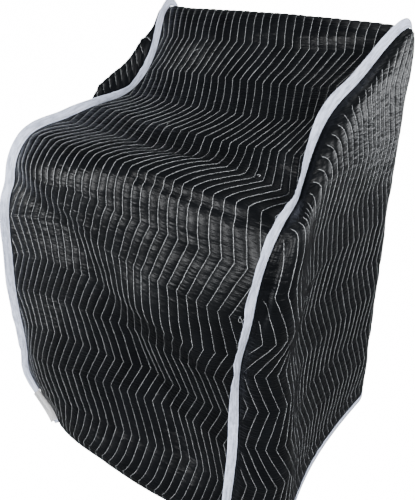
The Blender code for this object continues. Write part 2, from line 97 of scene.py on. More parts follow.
# Place and lens of the camera, and its turns in degrees, fitted to stitch corners seen in the photograph.
CAMERA_PLACE = (0.7176, -0.6123, 1.3333)
CAMERA_LENS = 33.76
CAMERA_DOWN = 32.226
CAMERA_TURN = 36.006

# Name, place, target, size, power and colour of each light.
LIGHTS = (
    ("key", (0.7, -2.4, 2.5), (0, 0, 0.7), 0.8, 105, (1.0, 0.99, 0.98)),
    ("low", (-1.5, -2.6, 1.3), (0, 0, 0.7), 0.8, 130, (0.98, 0.99, 1.0)),
    ("fill", (2.9, -0.9, 2.1), (0, 0, 0.7), 0.9, 150, (0.98, 0.99, 1.0)),
    ("side", (1.7, 1.8, 0.9), (0.4, 0, 0.6), 0.6, 26, (0.95, 0.97, 1.0)),
    ("top", (0.2, 1.4, 3.4), (0, 0.1, 0.9), 1.4, 14, (0.97, 0.98, 1.0)),
)
FLOOR_SIZE = 60.0
WHITE = 16.0  # strength at which the floor and the backdrop come out white

# The strip's course in millimetres, at the left seam, at one third, at two thirds and at the right seam.
# Columns: row, y and z at each of the four places, and the sideways shift of the left and of the right seam
# and of the strip at one third and at two thirds.
# Most numbers in rows 0.0 to 13.3 weren't chosen by hand. They are the results of least-squares fits to the
# photograph, which other programs made, rounded to whole millimetres.
COURSE = (
    (0.0, -71, 0, -101, 30, -66, -15, -16, -10, 95, -26, -69, -30),
    (0.3, -67, 33, -100, 59, -70, 14, -14, 25, 72, -24, -46, -9),
    (0.8, -68, 84, -89, 106, -51, 72, -10, 84, 26, -22, -18, 7),
    (1.3, -66, 142, -74, 161, -16, 136, -4, 142, -16, -21, -6, 2),
    (2.3, -64, 264, -55, 300, 27, 256, 18, 258, -4, -26, -15, -26),
    (3.3, -57, 383, -38, 418, 30, 361, 32, 375, -2, -34, -8, -19),
    (4.3, -49, 502, -17, 530, 22, 490, 31, 493, -2, -38, -7, -13),
    (5.3, -35, 619, -11, 641, 5, 604, 18, 610, 3, -26, -6, -21),
    (6.3, -18, 736, 6, 758, 5, 728, 0, 724, 7, 1, -7, -23),
    (7.3, 19, 847, 2, 873, 26, 840, 14, 838, 12, 10, -7, -32),
    (8.2, 84, 926, 51, 945, 61, 935, 70, 918, 15, 14, 19, -10),
    (9.3, 204, 943, 202, 940, 191, 944, 194, 912, 14, -20, 6, 25),
    (10.3, 319, 957, 315, 946, 273, 966, 264, 972, 15, -33, 8, 47),
    (11.3, 436, 967, 439, 970, 382, 997, 347, 1046, 22, -32, 1, 40),
    (12.3, 536, 1022, 521, 1041, 475, 1057, 450, 1091, 29, -21, -4, 23),
    (13.3, 603, 1115, 573, 1128, 578, 1128, 554, 1136, 31, -14, 0, 4),
    (14.0, 642, 1184, 630, 1188, 614, 1190, 617, 1180, 29, 6, 0, 0),
    (14.5, 684, 1188, 672, 1189, 660, 1190, 664, 1176, 27, 14, 0, 0),
    (15.3, 700, 1100, 694, 1104, 686, 1104, 688, 1092, 27, 14, 0, 0),
    (18.3, 704, 756, 702, 756, 700, 756, 696, 750, 14, 2, 0, 0),
    (21.5, 706, 384, 710, 384, 708, 384, 700, 386, 4, -8, 0, 0),
    (24.75, 708, 0, 716, -2, 714, 0, 704, 14, 0, -14, 0, 0),
)

# Folds of the strip: each runs between two places, in pitches across and half waves along.
# Columns: across and along at one end, across and along at the other, height raised in mm, and spread in mm.
FOLDS = (
    (1.0, 7.1, 8.0, 6.3, -12, 38),
    (8.0, 6.3, 13.0, 5.4, -11, 48),
    (13.0, 5.4, 17.0, 4.1, -15, 48),
    (17.0, 4.1, 20.5, 2.6, -17, 40),
    (20.5, 2.6, 24.0, 1.4, -11, 38),
    (20.0, 5.6, 26.0, 5.1, 20, 66),
    (8.5, 6.8, 13.0, 6.55, 5, 13),
    (16.5, 8.1, 27.2, 8.05, -7, 12),
    (13.0, 9.5, 20.0, 9.9, -13, 62),
    (20.5, 13.55, 28.0, 13.8, 6, 24),
    (5.0, 20.5, 9.0, 15.5, -8, 60),
)

# How far each side stands out past its seams in millimetres, by share of the height and share of the depth.
STAND_SHARES = (0.14, 0.42, 0.66, 0.90)
STAND_RIGHT = (
    (0.0, 132, 104, 112, 134),
    (0.3, 108, 74, 84, 104),
    (0.6, 84, 50, 56, 68),
    (0.9, 54, 34, 30, 26),
)
STAND_LEFT = (
    (0.0, 28, 50, 56, 66),
    (0.3, 48, 42, 48, 56),
    (0.6, 46, 36, 40, 46),
    (0.9, 36, 30, 30, 28),
)
# From the front, the top and the rear seam, a side rounds out over these distances.
ROUND_FRONT = 0.130
ROUND_TOP = 0.085
ROUND_REAR = 0.105
# How far each tape is turned up from the side panel, by row, in degrees: past 90 it leans over the strip.
TAPE_LEAN_RIGHT = (
    (0, 134), (3, 126), (4.2, 112), (5, 103), (8, 100), (8.8, 106), (9.6, 120), (13, 122), (24.75, 118)
)
TAPE_LEAN_LEFT = ((0, 52), (9.3, 54), (10.3, 84), (11.2, 98), (13, 98), (14.2, 80), (15.3, 60), (24.75, 52))
# The left side is pulled straight over the step, which raises a ridge outside the seam.
# Columns: share of the depth, and height above the seam in millimetres.
RIDGE_LEFT = ((0.0, 0), (0.40, 0), (0.59, 43), (0.77, 62), (0.88, 38), (0.96, 0), (1.0, 0))
RIDGE_NEAR = 0.040  # the ridge is full this far below the seam
RIDGE_FAR = 0.300  # and gone this far below it
LEVEL_SHARE = 0.72  # up to this share of the front edge's row, the rows of a side run level
MIDDLE_Y = 0.350  # the stitch lines of a side are counted from this depth
PHASE_RIGHT = 1 / 3  # the zigzag of the right side lies this much higher than the front's, in half waves
# The right side is tucked in beside its front tape: distance from the seam, depth, spread and rows.
TUCK_PLACE = 0.018
TUCK_DEPTH = 0.010
TUCK_SPREAD = 0.008
TUCK_LOW = 5.8
TUCK_HIGH = 8.1
TRACK_STEP = 0.01  # from one row of a seam's table to the next, in half waves

# Loose ends of stitching on the strip: pitches across, half waves along, turn in degrees, and length in
# millimetres. The places across and along were found by another program, from pixels of the photograph.
LOOSE = ((29.06, 6.43, -70, 34), (25.09, 9.36, 40, 16), (10.94, 10.37, 15, 14), (7.36, 12.96, -60, 18))
LOOSE_RADIUS = 0.0004
LOOSE_LIFT = 0.0035
LOOSE_CLEAR = 0.004  # from the seams
LOOSE_POINTS = 25
LOOSE_SIDES = 6


def spline(knots, values, x):
    """Natural cubic curve through the values, read at x. Values may have several columns."""
    knots = np.asarray(knots, float)
    values = np.asarray(values, float)
    flat = values.reshape(len(knots), -1)
    step = np.diff(knots)
    slope = np.diff(flat, axis=0) / step[:, None]
    size = len(knots)
    left = np.eye(size)
    right = np.zeros_like(flat)
    for n in range(1, size - 1):
        left[n, n - 1 : n + 2] = (step[n - 1], 2 * (step[n - 1] + step[n]), step[n])
        right[n] = 6 * (slope[n] - slope[n - 1])
    bend = np.linalg.solve(left, right)
    x = np.asarray(x, float)
    n = np.clip(np.searchsorted(knots, x, side="right") - 1, 0, size - 2)
    h = step[n][..., None]
    a = (knots[n + 1] - x)[..., None] / h
    b = 1 - a
    found = a * flat[n] + b * flat[n + 1] + ((a**3 - a) * bend[n] + (b**3 - b) * bend[n + 1]) * h * h / 6
    return found.reshape(x.shape + values.shape[1:])


def unit(vectors):
    """Vectors of length one."""
    return vectors / np.maximum(np.linalg.norm(vectors, axis=-1, keepdims=True), 1e-12)


def zigzag(row):
    """Sideways place of a stitch line, from -1 to 1, at a row counted in half waves above the hem."""
    turn = np.asarray(row, float) - FIRST_CORNER
    return 1 - 2 * np.abs((turn / 2) % 1 * 2 - 1)


def noise(x, y, seed):
    """Smooth noise from -1 to 1 over the plane, the same each run."""
    x, y = np.broadcast_arrays(np.asarray(x, float), np.asarray(y, float))
    cell_x = np.floor(x)
    cell_y = np.floor(y)
    part_x = x - cell_x
    part_y = y - cell_y
    part_x = part_x * part_x * (3 - 2 * part_x)
    part_y = part_y * part_y * (3 - 2 * part_y)

    def corner(right, up):
        wave = np.sin((cell_x + right) * 127.1 + (cell_y + up) * 311.7 + seed * 74.7) * 43758.5453
        return (wave - np.floor(wave)) * 2 - 1

    low = corner(0, 0) * (1 - part_x) + corner(1, 0) * part_x
    high = corner(0, 1) * (1 - part_x) + corner(1, 1) * part_x
    return low * (1 - part_y) + high * part_y


def wrinkles(across, along, seed):
    """Height of the small creases that run across the stitch lines. All lengths are metres of cloth."""
    bend = 0.012 * noise(across / 0.09, along / 0.20, seed + 5)
    ridge = 1 - np.abs(noise(across / 0.085, (along + bend) / 0.021, seed))
    amount = np.clip(0.5 + 0.9 * noise(across / 0.16, along / 0.11, seed + 1), 0.08, 1)
    creases = (ridge**3 - 0.35) * CREASE_HEIGHT * amount
    broad = BROAD_HEIGHT * noise(across / 0.12, along / 0.075, seed + 2)
    middle = MIDDLE_HEIGHT * noise(across / 0.055, along / 0.04, seed + 3)
    return creases + (broad + middle)


def fold_height(across, along):
    """How far the folds raise the strip, at a place in metres across and half waves along."""
    raised_part = np.zeros(np.broadcast(across, along).shape)
    sunk_part = np.zeros(raised_part.shape)
    for across_a, along_a, across_b, along_b, raised, spread in FOLDS:
        a = np.array((across_a * PITCH, along_a * HALF_WAVE))
        b = np.array((across_b * PITCH, along_b * HALF_WAVE))
        run = b - a
        share = ((across - a[0]) * run[0] + (along * HALF_WAVE - a[1]) * run[1]) / (run @ run)
        share = np.clip(share, 0, 1)
        far = np.hypot(across - a[0] - share * run[0], along * HALF_WAVE - a[1] - share * run[1])
        height = np.abs(raised) * np.exp(-((far * 1000 / spread) ** 2))
        # the fourth power lets folds that meet end to end run on at the same height
        if raised > 0:
            raised_part += height**4
        else:
            sunk_part += height**4
    return (raised_part**0.25 - sunk_part**0.25) / 1000


def curve_weights(share, places):
    """How much the value at each place counts at a share, for one smooth curve through all the values."""
    weight = []
    for n in range(len(places)):
        others = np.delete(places, n)
        weight.append(np.prod([(share - other) / (places[n] - other) for other in others], axis=0))
    return weight


def strip_base(across, along):
    """The strip's middle layer before its folds."""
    table = np.array(COURSE, float)
    course = spline(table[:, 0], table[:, 1:9] / 1000, along)
    shift = spline(table[:, 0], table[:, 9:] / 1000, along)
    share = across / WIDTH
    weight = curve_weights(share, np.array((0, 1 / 3, 2 / 3, 1)))
    y = sum(weight[n] * course[..., 2 * n] for n in range(4))
    z = sum(weight[n] * course[..., 2 * n + 1] for n in range(4))
    x = across - WIDTH / 2 + shift[..., 0] * (1 - share) + shift[..., 1] * share
    x = x + weight[1] * shift[..., 2] + weight[2] * shift[..., 3]
    return np.stack((x, y, z), -1) - ORIGIN


def strip_frame(place, across, along):
    """Point and outward direction of a surface of the strip."""
    step = 0.002
    side = place(across + step, along) - place(across - step, along)
    up = place(across, along + step / HALF_WAVE) - place(across, along - step / HALF_WAVE)
    return place(across, along), unit(np.cross(side, up))


def strip_point(across, along):
    """The strip's middle layer with its folds."""
    point, out = strip_frame(strip_base, across, along)
    return point + out * fold_height(across, along)[..., None]


def seam_at(along, right):
    """Seam point, outward direction and direction away from the strip."""
    along = np.asarray(along, float)
    across = np.full(along.shape, WIDTH if right else 0.0)
    point, out = strip_frame(strip_point, across, along)
    step = 0.01
    run = unit(strip_point(across, along + step) - strip_point(across, along - step))
    out = unit(out - run * (out * run).sum(-1, keepdims=True))
    away = np.cross(run, out)
    return point, out, away if right else -away


def quarter(distance, width):
    """Rises from 0 to 1 like a quarter of a circle."""
    return np.sqrt(np.maximum(1 - (1 - np.clip(distance / width, 0, 1)) ** 2, 0))


def read_track(track, along):
    """The row of a fine table of seam values at a place along the seam."""
    spot = np.clip(np.asarray(along, float) / REAR_HEM, 0, 1) * (len(track) - 1)
    n = np.minimum(spot.astype(int), len(track) - 2)
    part = (spot - n)[..., None]
    return track[n] * (1 - part) + track[n + 1] * part


class Side:
    """One side panel, as a patch between the seam and the hem."""

    def __init__(self, right):
        self.right = right
        self.sign = 1.0 if right else -1.0
        self.phase = PHASE_RIGHT if right else 0.0
        self.stand = np.array(STAND_RIGHT if right else STAND_LEFT, float)
        fine = np.linspace(0, REAR_HEM, round(REAR_HEM / TRACK_STEP) + 1)
        self.track = np.concatenate(seam_at(fine, right), 1)
        self.top = np.linspace(FRONT_EDGE, BACK_EDGE, 200)
        depth = self.seam(self.top)[:, 1]
        self.share = np.maximum.accumulate((depth - depth[0]) / (depth[-1] - depth[0]))
        self.front_foot = self.seam(0.0)
        self.rear_foot = self.seam(REAR_HEM)
        self.front_head = self.seam(FRONT_EDGE)
        self.rear_head = self.seam(BACK_EDGE)

    def seam(self, along):
        return read_track(self.track, along)[..., :3]

    def height(self, share):
        """Height of the panel at a share of its depth, in half waves."""
        head = self.seam(np.interp(share, self.share, self.top))
        foot = self.front_foot[2] * (1 - share) + self.rear_foot[2] * share
        return (head[..., 2] - foot) / HALF_WAVE

    def point(self, share, level):
        """Middle layer at a share of the depth and a share of the height."""
        share, level = np.broadcast_arrays(np.asarray(share, float), np.asarray(level, float))
        back = share[..., None]
        up = level[..., None]
        front = self.seam(level * FRONT_EDGE)
        rear = self.seam(REAR_HEM - level * (REAR_HEM - BACK_EDGE))
        head = self.seam(np.interp(share, self.share, self.top))
        foot = self.front_foot * (1 - back) + self.rear_foot * back
        front_corners = (1 - up) * self.front_foot + up * self.front_head
        rear_corners = (1 - up) * self.rear_foot + up * self.rear_head
        corners = (1 - back) * front_corners + back * rear_corners
        point = (1 - back) * front + back * rear + (1 - up) * foot + up * head - corners
        rows = spline(self.stand[:, 0], self.stand[:, 1:], np.clip(level, 0, 0.95))
        weight = curve_weights(share, np.array(STAND_SHARES))
        stand = sum(weight[n] * rows[..., n] for n in range(4)) / 1000
        depth = self.rear_head[1] - self.front_foot[1]
        tall = self.height(share) * HALF_WAVE
        stand = stand * quarter(share * depth, ROUND_FRONT) * quarter((1 - share) * depth, ROUND_REAR)
        stand = stand * quarter((1 - level) * tall, ROUND_TOP)
        return point + np.stack((stand * self.sign, 0 * stand, self.ridge(share, (1 - level) * tall)), -1)

    def ridge(self, share, below):
        """How far the left panel rises, pulled straight over the step, at a distance below the seam."""
        if self.right:
            return 0 * below
        table = np.array(RIDGE_LEFT, float)
        height = np.interp(share, table[:, 0], table[:, 1] / 1000)
        lift = height + RIDGE_NEAR * np.clip(height / 0.02, 0, 1)
        up = np.sin(math.pi / 2 * np.clip(below / RIDGE_NEAR, 0, 1))
        down = (1 + np.cos(math.pi * np.clip((below - RIDGE_NEAR) / (RIDGE_FAR - RIDGE_NEAR), 0, 1))) / 2
        return lift * up * down

    def level_of(self, row, share):
        """Share of the height for a row counted on the front, which stays level low down."""
        tall = self.height(share)
        fixed = LEVEL_SHARE * FRONT_EDGE
        above = fixed + (row - fixed) / (FRONT_EDGE - fixed) * (tall - fixed)
        return np.where(row <= fixed, row, above) / tall

    def grid(self, rows, columns):
        """Middle layer for rows by columns, counted in pitches from the middle of the panel.

        Gives points, outward directions, the place of each in pitches, its height in half waves, and the
        numbers of the points, which join where a column has reached a seam.
        """
        fine = (1 - np.cos(np.linspace(0, math.pi, 321))) / 2
        shape = (len(rows), len(columns))
        point = np.zeros(shape + (3,))
        out = np.zeros(shape + (3,))
        high = np.zeros(shape)
        place = np.zeros(shape)
        index = np.arange(len(rows) * len(columns)).reshape(shape)
        for n, row in enumerate(rows):
            level = np.minimum(self.level_of(row, fine), 1)
            course = self.point(fine, level)
            tall = level * self.height(fine)
            # a line's place counts the level run of the cloth alone, so it stands upright in the cloth
            run = np.concatenate(([0], np.cumsum(np.linalg.norm(np.diff(course[:, :2], axis=0), axis=1))))
            run = (run - np.interp(MIDDLE_Y - ORIGIN[1], course[:, 1], run)) / PITCH
            # three rounds bring each line to where the zigzag puts it at its own height
            target = columns
            for _ in range(3):
                target = columns + zigzag(np.interp(target, run, tall) - self.phase) * SWING / PITCH
            low = int((target <= run[0]).sum())
            high_end = len(columns) - int((target >= run[-1]).sum())
            index[n, :low] = index[n, max(low - 1, 0)]
            index[n, high_end:] = index[n, min(high_end, len(columns) - 1)]
            target = np.clip(target, run[0], run[-1])
            share = np.interp(target, run, fine)
            here = np.minimum(self.level_of(row, share), 1)
            step = np.array((0.003, -0.003))[:, None]
            rear, front = np.clip(share + step, 0, 1)
            above, below = np.clip(here + step, 0, 1)
            side = self.point(rear, here) - self.point(front, here)
            rise = self.point(share, above) - self.point(share, below)
            point[n] = self.point(share, here)
            out[n] = unit(np.cross(side, rise)) * self.sign
            high[n] = here * self.height(share)
            place[n] = target
            # on the seam the panel takes the seam's own directions
            along = np.where(share <= 0, here * FRONT_EDGE, REAR_HEM - here * (REAR_HEM - BACK_EDGE))
            if here.min() >= 0.9999:
                along = np.interp(share, self.share, self.top)
                edge = np.ones(len(share), bool)
            else:
                edge = (share <= 0) | (share >= 1)
            found = read_track(self.track, along)
            point[n][edge] = (found[:, :3] + found[:, 6:9] * SEAM_GAP)[edge]
            out[n][edge] = unit(found[:, 3:6])[edge]
        return point, out, place, high, index


def new_material(name, color, roughness):
    """A material with a plain shader, its node tree and that shader."""
    made = bpy.data.materials.new(name)
    made.use_nodes = True
    tree = made.node_tree
    shader = tree.nodes["Principled BSDF"]
    shader.inputs["Base Color"].default_value = (*color, 1.0)
    shader.inputs["Roughness"].default_value = roughness
    return made, tree, shader


def noise_node(tree, source, scale, detail, rough):
    """A noise texture read at the piece's own places, with so many cells for one unit across and along."""
    mapping = tree.nodes.new("ShaderNodeMapping")
    mapping.inputs["Scale"].default_value = (scale[0], scale[1], 1.0)
    tree.links.new(source, mapping.inputs["Vector"])
    made = tree.nodes.new("ShaderNodeTexNoise")
    made.inputs["Scale"].default_value = 1.0
    made.inputs["Detail"].default_value = detail
    made.inputs["Roughness"].default_value = rough
    tree.links.new(mapping.outputs["Vector"], made.inputs["Vector"])
    return made.outputs["Fac"]


def color_by(tree, shader, tone, stops):
    """Colours a shader by a value, through a ramp with two stops of place and colour."""
    made = tree.nodes.new("ShaderNodeValToRGB")
    for element, (place, color) in zip(made.color_ramp.elements, stops):
        element.position = place
        element.color = (*color, 1.0)
    tree.links.new(tone, made.inputs["Fac"])
    tree.links.new(made.outputs["Color"], shader.inputs["Base Color"])


def range_node(tree, source, low, high):
    """Maps a value from 0..1 to low..high."""
    made = tree.nodes.new("ShaderNodeMapRange")
    made.inputs["To Min"].default_value = low
    made.inputs["To Max"].default_value = high
    tree.links.new(source, made.inputs["Value"])
    return made.outputs["Result"]


def add_bumps(tree, shader, *bumps):
    """Bumps one on top of another, from the lowest up: the height, strength and distance of each."""
    socket = shader.inputs["Normal"]
    for height, strength, distance in reversed(bumps):
        made = tree.nodes.new("ShaderNodeBump")
        made.inputs["Strength"].default_value = strength
        made.inputs["Distance"].default_value = distance
        tree.links.new(height, made.inputs["Height"])
        tree.links.new(made.outputs["Normal"], socket)
        socket = made.inputs["Normal"]


def weave_node(tree, source, across, along):
    """A fine over-and-under weave, with so many threads for one unit across and along."""
    scaled = tree.nodes.new("ShaderNodeVectorMath")
    scaled.operation = "MULTIPLY"
    scaled.inputs[1].default_value = (across * math.pi, along * math.pi, 0.0)
    tree.links.new(source, scaled.inputs[0])
    waves = tree.nodes.new("ShaderNodeVectorMath")
    waves.operation = "SINE"
    tree.links.new(scaled.outputs[0], waves.inputs[0])
    split = tree.nodes.new("ShaderNodeSeparateXYZ")
    tree.links.new(waves.outputs[0], split.inputs[0])
    both = tree.nodes.new("ShaderNodeMath")
    both.operation = "MULTIPLY"
    tree.links.new(split.outputs["X"], both.inputs[0])
    tree.links.new(split.outputs["Y"], both.inputs[1])
    return both.outputs[0]


def cloth_look(name, color, roughness):
    """A material for cloth or thread, its node tree, its shader, and each point's place in the cloth.

    The place is in metres along. Across, the pads count pitches, tapes and label metres, and threads a
    measure of their own.
    """
    made, tree, shader = new_material(name, color, roughness)
    place = tree.nodes.new("ShaderNodeUVMap")
    place.uv_map = "cloth"
    return made, tree, shader, place.outputs["UV"]


def cloth_material():
    made, tree, shader, place = cloth_look("pad_cloth", (0.006, 0.007, 0.008), 0.42)
    tone = noise_node(tree, place, scale=(0.35, 9.0), detail=3.0, rough=0.6)
    color_by(tree, shader, tone, ((0.30, (0.0014, 0.0017, 0.0022)), (0.72, (0.0034, 0.0040, 0.0050))))
    gloss = noise_node(tree, place, scale=(0.9, 40.0), detail=2.0, rough=0.5)
    tree.links.new(range_node(tree, gloss, low=0.32, high=0.44), shader.inputs["Roughness"])
    shader.inputs["Specular IOR Level"].default_value = 0.11
    pucker = noise_node(tree, place, scale=(0.75, 120.0), detail=2.0, rough=0.55)
    crease = noise_node(tree, place, scale=(0.30, 42.0), detail=3.0, rough=0.6)
    weave = weave_node(tree, place, across=1.0 / 0.035, along=1.0 / 0.0009)
    add_bumps(tree, shader, (crease, 0.75, 0.0060), (pucker, 0.6, 0.0030), (weave, 0.12, 0.00025))
    return made


def thread_material():
    made, tree, shader, place = cloth_look("stitch_thread", (0.60, 0.62, 0.64), 0.6)
    tone = noise_node(tree, place, scale=(0.4, 190.0), detail=2.0, rough=0.7)
    color_by(tree, shader, tone, ((0.36, (0.12, 0.125, 0.13)), (0.62, (0.50, 0.52, 0.54))))
    twist = weave_node(tree, place, across=1.0, along=1.0 / 0.0016)
    add_bumps(tree, shader, (twist, 0.4, 0.0003))
    return made


def tape_material():
    made, tree, shader, place = cloth_look("binding_tape", (0.56, 0.58, 0.65), 0.8)
    tone = noise_node(tree, place, scale=(170.0, 24.0), detail=4.0, rough=0.7)
    color_by(tree, shader, tone, ((0.34, (0.27, 0.30, 0.40)), (0.56, (0.60, 0.65, 0.82))))
    shader.inputs["Sheen Weight"].default_value = 0.15
    crease = noise_node(tree, place, scale=(28.0, 70.0), detail=3.0, rough=0.6)
    weave = weave_node(tree, place, across=1.0 / 0.0016, along=1.0 / 0.0011)
    add_bumps(tree, shader, (crease, 0.8, 0.0036), (weave, 0.35, 0.0003))
    return made


def label_material():
    made, tree, shader, place = cloth_look("label_cloth", (0.80, 0.80, 0.82), 0.5)
    tone = noise_node(tree, place, scale=(70.0, 30.0), detail=3.0, rough=0.6)
    color_by(tree, shader, tone, ((0.30, (0.66, 0.66, 0.68)), (0.65, (0.86, 0.86, 0.87))))
    crease = noise_node(tree, place, scale=(50.0, 26.0), detail=2.0, rough=0.5)
    weave = weave_node(tree, place, across=1.0 / 0.0007, along=1.0 / 0.0007)
    add_bumps(tree, shader, (crease, 0.4, 0.002), (weave, 0.2, 0.0002))
    return made


def new_object(name, data):
    """An object in the scene, for a mesh, a light or the camera."""
    made = bpy.data.objects.new(name, data)
    bpy.context.scene.collection.objects.link(made)
    return made


def mesh_object(name, points, faces, places, material):
    """A smooth object from points, groups of faces and each point's place in the cloth.

    Points that no face uses are left out.
    """
    used = np.unique(np.concatenate([group.ravel() for group in faces]))
    number = np.full(len(points), -1)
    number[used] = np.arange(len(used))
    polygons = []
    for group in faces:
        polygons += number[group].tolist()
    mesh = bpy.data.meshes.new(name)
    mesh.from_pydata(points[used].tolist(), [], polygons)
    layer = mesh.uv_layers.new(name="cloth")
    corner = np.empty(len(mesh.loops), np.int32)
    mesh.loops.foreach_get("vertex_index", corner)
    layer.data.foreach_set("uv", places[used][corner].astype(np.float32).ravel())
    mesh.shade_smooth()
    mesh.update()
    mesh.materials.append(material)
    return new_object(name, mesh)


def quads(index, turned=False):
    """Faces of a grid of point numbers: quads, and triangles where points join.

    They face the side from which the rows go up and the columns go right.
    """
    corners = (index[:-1, :-1], index[:-1, 1:], index[1:, 1:], index[1:, :-1])
    corners = np.stack(corners, -1).reshape(-1, 4)
    low = corners[:, 0] == corners[:, 1]
    high = corners[:, 2] == corners[:, 3]
    whole = corners[~low & ~high]
    upper = corners[low & ~high][:, [0, 2, 3]]
    lower = corners[~low & high][:, [0, 1, 2]]
    groups = [whole, upper, lower]
    return [group[:, ::-1] for group in groups] if turned else groups


def zipped(first, second, turned=False):
    """Triangles between two paths of point numbers, walked together."""
    first = list(dict.fromkeys(first))
    second = list(dict.fromkeys(second))
    first_end = len(first) - 1
    second_end = len(second) - 1
    faces = []
    a = 0
    b = 0
    while a < first_end or b < second_end:
        if b == second_end or (a < first_end and (a + 1) / first_end <= (b + 1) / second_end):
            faces.append((first[a], first[a + 1], second[b]))
            a += 1
        else:
            faces.append((first[a], second[b + 1], second[b]))
            b += 1
    faces = np.array(faces)
    return faces[:, ::-1] if turned else faces


def pad_faces(outer, inner, turned):
    """Faces of a closed pad, from the point numbers of its outer and of its inner layer."""
    faces = quads(outer, turned) + quads(inner, not turned)
    faces.append(zipped(outer[:, 0], inner[:, 0], turned))
    faces.append(zipped(outer[:, -1], inner[:, -1], not turned))
    faces.append(zipped(outer[0], inner[0], not turned))
    faces.append(zipped(outer[-1], inner[-1], turned))
    return faces


def listed(*grids):
    """Grids of points, or of places in the cloth, as one list."""
    return np.concatenate([grid.reshape(-1, grid.shape[-1]) for grid in grids])


def channel(columns):
    """Height of the puffed channels: sharp valleys at the stitch lines, which lie at whole numbers."""
    return PUFF * (2 * np.abs(np.sin(math.pi * columns)) ** 0.55 - 1)


def edge_fade(distance, width):
    """Rises from 0 at an edge to 1 further in."""
    t = np.clip(distance / width, 0, 1)
    return t * t * (3 - 2 * t)


def crease_fade(distance):
    """Share of their height that the small creases have at a distance from a seam."""
    return edge_fade(distance - CREASE_CLEAR, CREASE_FADE)


def cloth_rows(last):
    """Rows of a cloth from its lower hem up to its last row, with one at every corner of the zigzag."""
    steps = np.arange(-int(FIRST_CORNER * STEPS), int(REAR_HEM + 1) * STEPS)
    rows = FIRST_CORNER + steps / STEPS
    return np.concatenate(([0.0], rows[(rows > 0.01) & (rows < last - 0.02)], [last]))


def inner_rows(rows):
    """Every third row and the last, which are enough for the inner layer of a pad."""
    return np.unique(np.concatenate((rows[::3], rows[-1:])))


def side_columns(fine):
    """Columns of a side panel, counted in pitches from its middle, so many for each pitch."""
    return np.arange(-SIDE_REACH * fine, SIDE_REACH * fine + 1) / fine


def strip_middle(across, along):
    """Middle layer of the strip with its small creases, and its outward direction."""
    point, out = strip_frame(strip_point, across, along)
    near = crease_fade(np.minimum(across, WIDTH - across))
    height = wrinkles(across, along * HALF_WAVE, 1) * near
    return point + out * height[..., None], out


def build_strip(cloth):
    """The strip as one closed pad."""
    rows = cloth_rows(REAR_HEM)
    columns = np.arange(-COLUMNS, (LINES + 2) * COLUMNS + 1) / COLUMNS
    low = SEAM_GAP
    high = WIDTH - SEAM_GAP
    swing = zigzag(rows)[:, None] * SWING
    target = columns * PITCH + swing
    across = np.clip(target, low, high)
    along = np.repeat(rows[:, None], len(columns), 1)
    index = np.arange(across.size).reshape(across.shape)
    # columns that have left the strip join at its seam
    for n in range(len(rows)):
        left = int((target[n] <= low).sum())
        right = len(columns) - int((target[n] >= high).sum())
        index[n, :left] = index[n, left - 1]
        index[n, right:] = index[n, right]
    point, out = strip_middle(across, along)
    from_hem = np.minimum(along, REAR_HEM - along) * HALF_WAVE
    relief = channel(columns) * edge_fade(np.minimum(across - low, high - across), PUFF_FADE)
    relief = relief * edge_fade(from_hem, PUFF_FADE_HEM)
    outer = point + out * (PAD / 2 + relief)[..., None]

    inner_columns = np.linspace(low, high, 3 * LINES)
    inner_along, inner_across = np.meshgrid(inner_rows(rows), inner_columns, indexing="ij")
    point, out = strip_middle(inner_across, inner_along)
    inner = point - out * PAD / 2
    under = across.size + np.arange(inner_across.size).reshape(inner_across.shape)

    places = listed(
        np.stack((target / PITCH - swing / PITCH, along * HALF_WAVE), -1),
        np.stack((inner_across / PITCH, inner_along * HALF_WAVE), -1),
    )
    faces = pad_faces(index, under, False)
    made = mesh_object("centre_cloth", listed(outer, inner), faces, places, cloth)
    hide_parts("centre_panel")
    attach(made, "root")
    return made


def line_stretches(line, rows):
    """The stretches of a stitch line on the strip, each run on to the seam where the line leaves it."""
    run = line * PITCH + zigzag(rows) * SWING
    inside = (run > STITCH_CLEAR) & (run < WIDTH - STITCH_CLEAR)
    ends = np.flatnonzero(np.diff(np.concatenate(([0], inside.astype(int), [0]))))
    stretches = []
    for start, stop in zip(ends[::2], ends[1::2]):
        if stop - start > 1:
            part = slice(max(start - 1, 0), stop + 1)
            place = np.clip(run[part], STITCH_END, WIDTH - STITCH_END)
            stretches.append(np.stack((place, rows[part]), -1))
    return stretches


def stitch_strip(thread):
    """The strip's stitch lines, each a flat thread with a raised middle."""
    rows = cloth_rows(REAR_HEM)
    paths = [(line, path) for line in range(-1, LINES + 3) for path in line_stretches(line, rows)]
    side = np.array((-THREAD / 2, 0, THREAD / 2))
    points = []
    faces = []
    places = []
    total = 0
    for line, path in paths:
        stray = STRAY * noise(path[:, 1] * 5, line * 3.7, 9)
        across = path[:, :1] + stray[:, None] + side[None]
        along = np.repeat(path[:, 1:], 3, 1)
        point, out = strip_middle(across, along)
        points.append(point + out * (PAD / 2 + THREAD_RISE)[None, :, None])
        index = total + np.arange(across.size).reshape(across.shape)
        faces.append(quads(index)[0])
        places.append(np.stack((across / MILLIMETRE, along * HALF_WAVE), -1))
        total += across.size
    made = mesh_object("centre_stitching", listed(*points), faces, listed(*places), thread)
    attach(made, "root")


